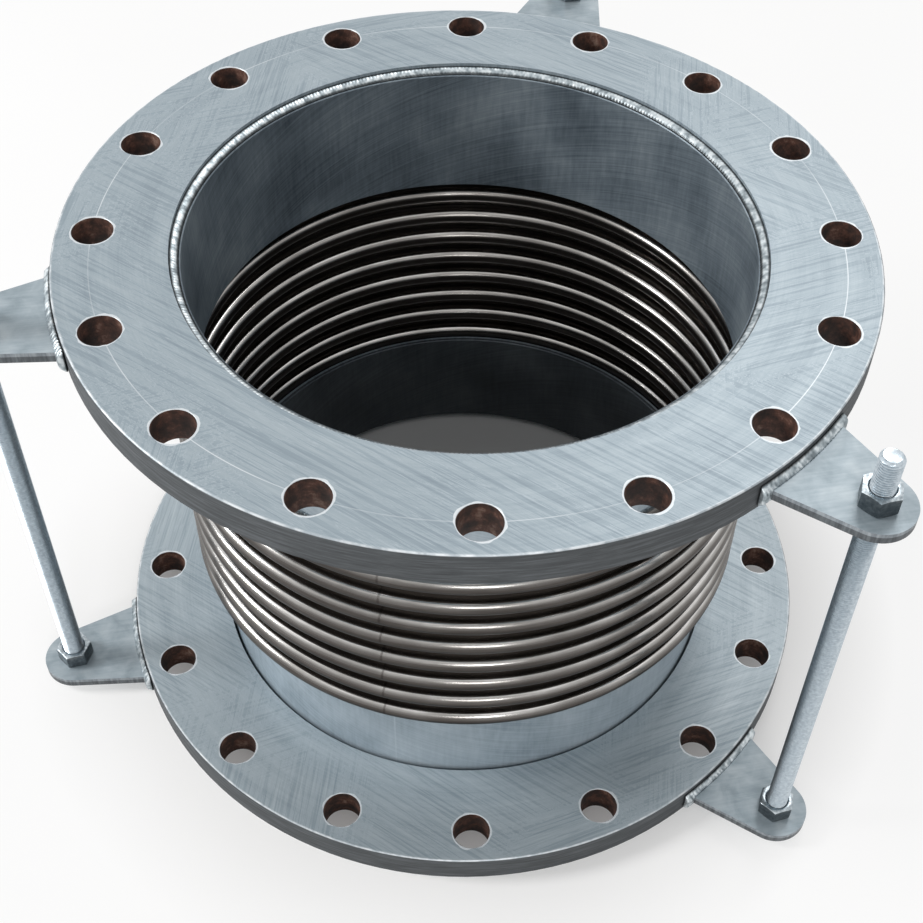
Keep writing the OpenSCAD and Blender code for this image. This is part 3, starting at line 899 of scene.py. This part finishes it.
# inner and outer are (radius, z) where the face meets the pipe and the plate, back is the corner behind it
def makeRingWeld(name, inner, outer, back):
    radius = (inner[0] + outer[0]) / 2
    along = Vector((outer[0] - inner[0], outer[1] - inner[1]))
    side = Vector((along.y, -along.x)).normalized()
    if side.dot(Vector((radius - back[0], (inner[1] + outer[1]) / 2 - back[1]))) < 0:
        side = -side
    points = []
    for i in range(bead["across"] + 1):
        t = i / bead["across"]
        rise = 4 * t * (1 - t)
        r = inner[0] + along.x * t + side.x * rise * bead["bulge"]
        z = inner[1] + along.y * t + side.y * rise * bead["bulge"]
        a = rise * bead["bow"] / radius
        points.append((r * math.cos(a), r * math.sin(a), z))
    points.append((back[0], 0, back[1]))
    points.append(points[0])
    piece = drawLine(name, points)
    ripples = round(math.tau * radius / bead["ripple"])
    steps = ripples * bead["stepsPerRipple"]
    bpy.ops.mesh.spin(steps=steps, angle=math.tau, center=(0, 0, 0), axis=(0, 0, 1))
    closeSkin(piece, bead["join"])
    zLow, zHigh = min(inner[1], outer[1]) - 2 * bead["bulge"], max(inner[1], outer[1]) + 2 * bead["bulge"]

    # How far a point lies from the straight line of the face, as a share of the bulge
    def faceRise(co):
        r = math.hypot(co.x, co.y)
        return ((r - inner[0]) * side.x + (co.z - inner[1]) * side.y) / bead["bulge"]

    def pinched(co):
        rise = faceRise(co)
        if rise < bead["pinchFrom"]:
            return False
        lead = rise * bead["bow"] / radius
        turn = (math.atan2(co.y, co.x) - lead) / math.tau * steps
        return round(turn) % bead["stepsPerRipple"] == 0

    selectVerts(piece, pinched)
    bpy.ops.transform.shrink_fatten(value=-bead["pinch"])
    selectVerts(piece, lambda co: faceRise(co) > bead["scatterFrom"] and zLow < co.z < zHigh)
    bpy.ops.transform.vertex_random(offset=bead["scatter"], uniform=0.0, normal=0.5, seed=3)
    objectMode()
    selectOnly(piece)
    bpy.ops.object.shade_smooth()
    return piece


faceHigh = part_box("upper_flange")[1].z
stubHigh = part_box("upper_pipe_stub")[1].z
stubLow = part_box("lower_pipe_stub")[0].z
beadInner = pipeInner + fit["weldInset"]
upperBead = makeRingWeld(
    "upper_bore_bead", (beadInner, stubHigh),
    (flangeBore, faceHigh - fit["weldSink"]), (flangeBore, stubHigh))
finishPiece(upperBead, "upper_end", "weld_metal", ringWeldMetal, "upper_bore_weld")
lowerBead = makeRingWeld(
    "lower_bore_bead", (beadInner, stubLow), (flangeBore, fit["weldSink"]), (flangeBore, stubLow))
finishPiece(lowerBead, "lower_end", "weld_metal", ringWeldMetal, "lower_bore_weld")
for name, body in (("upper_cuff_weld", "upper_end"), ("lower_cuff_weld", "lower_end")):
    low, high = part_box(name)
    near, far = (low.z, high.z) if body == "upper_end" else (high.z, low.z)
    cuffBead = makeRingWeld(
        name.replace("weld", "bead"), (pipeOuter, far), (high.x - bead["scatter"], near), (pipeOuter, near))
    finishPiece(cuffBead, body, "weld_metal", ringWeldMetal, name)
print("ring welds made")


# Lug welds: the fillet remeshed fine, rippled along the rim

lugBead = {
    "voxel": 0.7 * mm,
    "ripple": 3.2 * mm,
    "bow": 1.2 * mm,
    "rise": 0.45 * mm,
    "bands": (0.25, 0.45),  # half widths of a ripple's two raised bands, as shares of a ripple
    "clear": 0.4 * mm,  # the strip against the rim that stays smooth
    "reach": 0.25,  # how far out from the rim the weld goes, as a share of its height
}


def makeLugWeld(name, source):
    objectMode()
    bpy.ops.object.select_all(action="DESELECT")
    piece = bpy.data.objects.new(name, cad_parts[source].data.copy())
    bpy.context.scene.collection.objects.link(piece)
    selectOnly(piece)
    bpy.ops.object.mode_set(mode="EDIT")
    bpy.ops.mesh.select_all(action="SELECT")
    bpy.ops.mesh.remove_doubles(threshold=bead["join"])
    objectMode()
    applyModifier(piece, "REMESH", mode="VOXEL", voxel_size=lugBead["voxel"])
    applyModifier(piece, "SMOOTH", factor=0.5, iterations=3)
    low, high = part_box(source)

    def phase(co):
        run = math.atan2(co.y, co.x) * flangeRim
        away = (math.hypot(co.x, co.y) - flangeRim) / (lugBead["reach"] * (high.z - low.z))
        lead = lugBead["bow"] * math.sin(math.pi * min(1.0, max(0.0, away)))
        return (run + lead) / lugBead["ripple"] % 1.0

    for band in lugBead["bands"]:
        selectVerts(piece, lambda co: abs(phase(co) - 0.5) < band
                    and math.hypot(co.x, co.y) > flangeRim + lugBead["clear"])
        bpy.ops.transform.shrink_fatten(value=lugBead["rise"] / 2)
    objectMode()
    applyModifier(piece, "SMOOTH", factor=0.4, iterations=1)
    selectOnly(piece)
    bpy.ops.object.shade_smooth()
    return piece


for end, body in (("upper", "upper_end"), ("lower", "lower_end")):
    for side in sides:
        source = f"{end}_lug_weld_{side}"
        piece = makeLugWeld(f"{end}_lug_bead_{side}", source)
        finishPiece(piece, body, "weld_metal", lugWeldMetal, source)
print("lug welds made")


# Floor, light and world

studio = {
    "floorSize": 60.0,
    "floor": ("#F4F3F1", "#FBFAF9"),
    "blotch": 333 * mm,  # size of a blotch in the tone of the floor
    "glow": 0.82,  # share of plain white that the camera sees in the floor, away from the part
    "glowStart": 0.22,
    "glowFull": 0.38,
    "world": 0.4,
    "aim": (0, 0, 0.25),
    # Name, place, disk width and watts
    "lamps": (
        ("keyLamp", (-2.1, -0.6, 1.7), 0.8, 42.0),
        ("frontLamp", (0.7, -2.1, 1.5), 0.6, 11.0),
        ("backLamp", (0.35, 1.3, 1.9), 0.9, 9.0),
    ),
}


# 1 for the rays that may see the plain background: camera, glossy and transmission rays
def seenRays(tree):
    rays = addNode(tree, "ShaderNodeLightPath").outputs
    seen = addNode(tree, "ShaderNodeMath", {
        0: rays["Is Camera Ray"], 1: rays["Is Glossy Ray"]}, operation="MAXIMUM").outputs[0]
    return addNode(tree, "ShaderNodeMath", {
        0: seen, 1: rays["Is Transmission Ray"]}, operation="MAXIMUM").outputs[0]


def makeFloor():
    objectMode()
    bpy.ops.object.select_all(action="DESELECT")
    bpy.ops.mesh.primitive_plane_add(size=studio["floorSize"], location=(0, 0, cadLow.z))
    floor = startPiece("studio_floor")
    # Matt pale floor, seen partly as plain white away from the part, so the shadow stays near it
    material, tree = newMaterial("mattFloor")
    place, radius = roundAxis(tree)[:2]
    grain = addNode(tree, "ShaderNodeTexNoise", {
        "Vector": place, "Scale": 1 / studio["blotch"]}).outputs["Fac"]
    colour = addNode(tree, "ShaderNodeValToRGB", {"Fac": grain},
        list(zip((0.3, 0.7), studio["floor"]))).outputs[0]
    matt = addNode(tree, "ShaderNodeBsdfDiffuse", {"Color": colour})
    white = addNode(tree, "ShaderNodeEmission", {"Color": (1, 1, 1, 1), "Strength": 1.0})
    share = addNode(tree, "ShaderNodeMapRange", {
        "Value": radius, "From Min": studio["glowStart"], "From Max": studio["glowFull"],
        "To Max": studio["glow"]}).outputs[0]
    share = addNode(tree, "ShaderNodeMath", {0: share, 1: seenRays(tree)}, operation="MULTIPLY").outputs[0]
    shader = addNode(tree, "ShaderNodeMixShader", {0: share, 1: matt.outputs[0], 2: white.outputs[0]})
    finishMaterial(tree, shader)
    floor.data.materials.append(material)


def addLamp(name, place, size, power):
    objectMode()
    bpy.ops.object.light_add(type="AREA", location=place)
    lamp = bpy.context.active_object
    lamp.name = name
    lamp.data.shape = "DISK"
    lamp.data.size = size
    lamp.data.energy = power
    lamp.rotation_euler = (Vector(studio["aim"]) - Vector(place)).to_track_quat("-Z", "Y").to_euler()


def makeWorld():
    world = bpy.data.worlds.new("paleStudio")
    bpy.context.scene.world = world
    world.use_nodes = True
    tree = world.node_tree
    tree.nodes.clear()
    strength = addNode(tree, "ShaderNodeMapRange", {
        "Value": seenRays(tree), "To Min": studio["world"], "To Max": 1.0}).outputs[0]
    shader = addNode(tree, "ShaderNodeBackground", {"Color": (1, 1, 1, 1), "Strength": strength})
    addNode(tree, "ShaderNodeOutputWorld", {"Surface": shader.outputs[0]})


makeFloor()
for lampSettings in studio["lamps"]:
    addLamp(*lampSettings)
makeWorld()
bpy.context.scene.view_settings.view_transform = "Standard"
print("floor and light made")
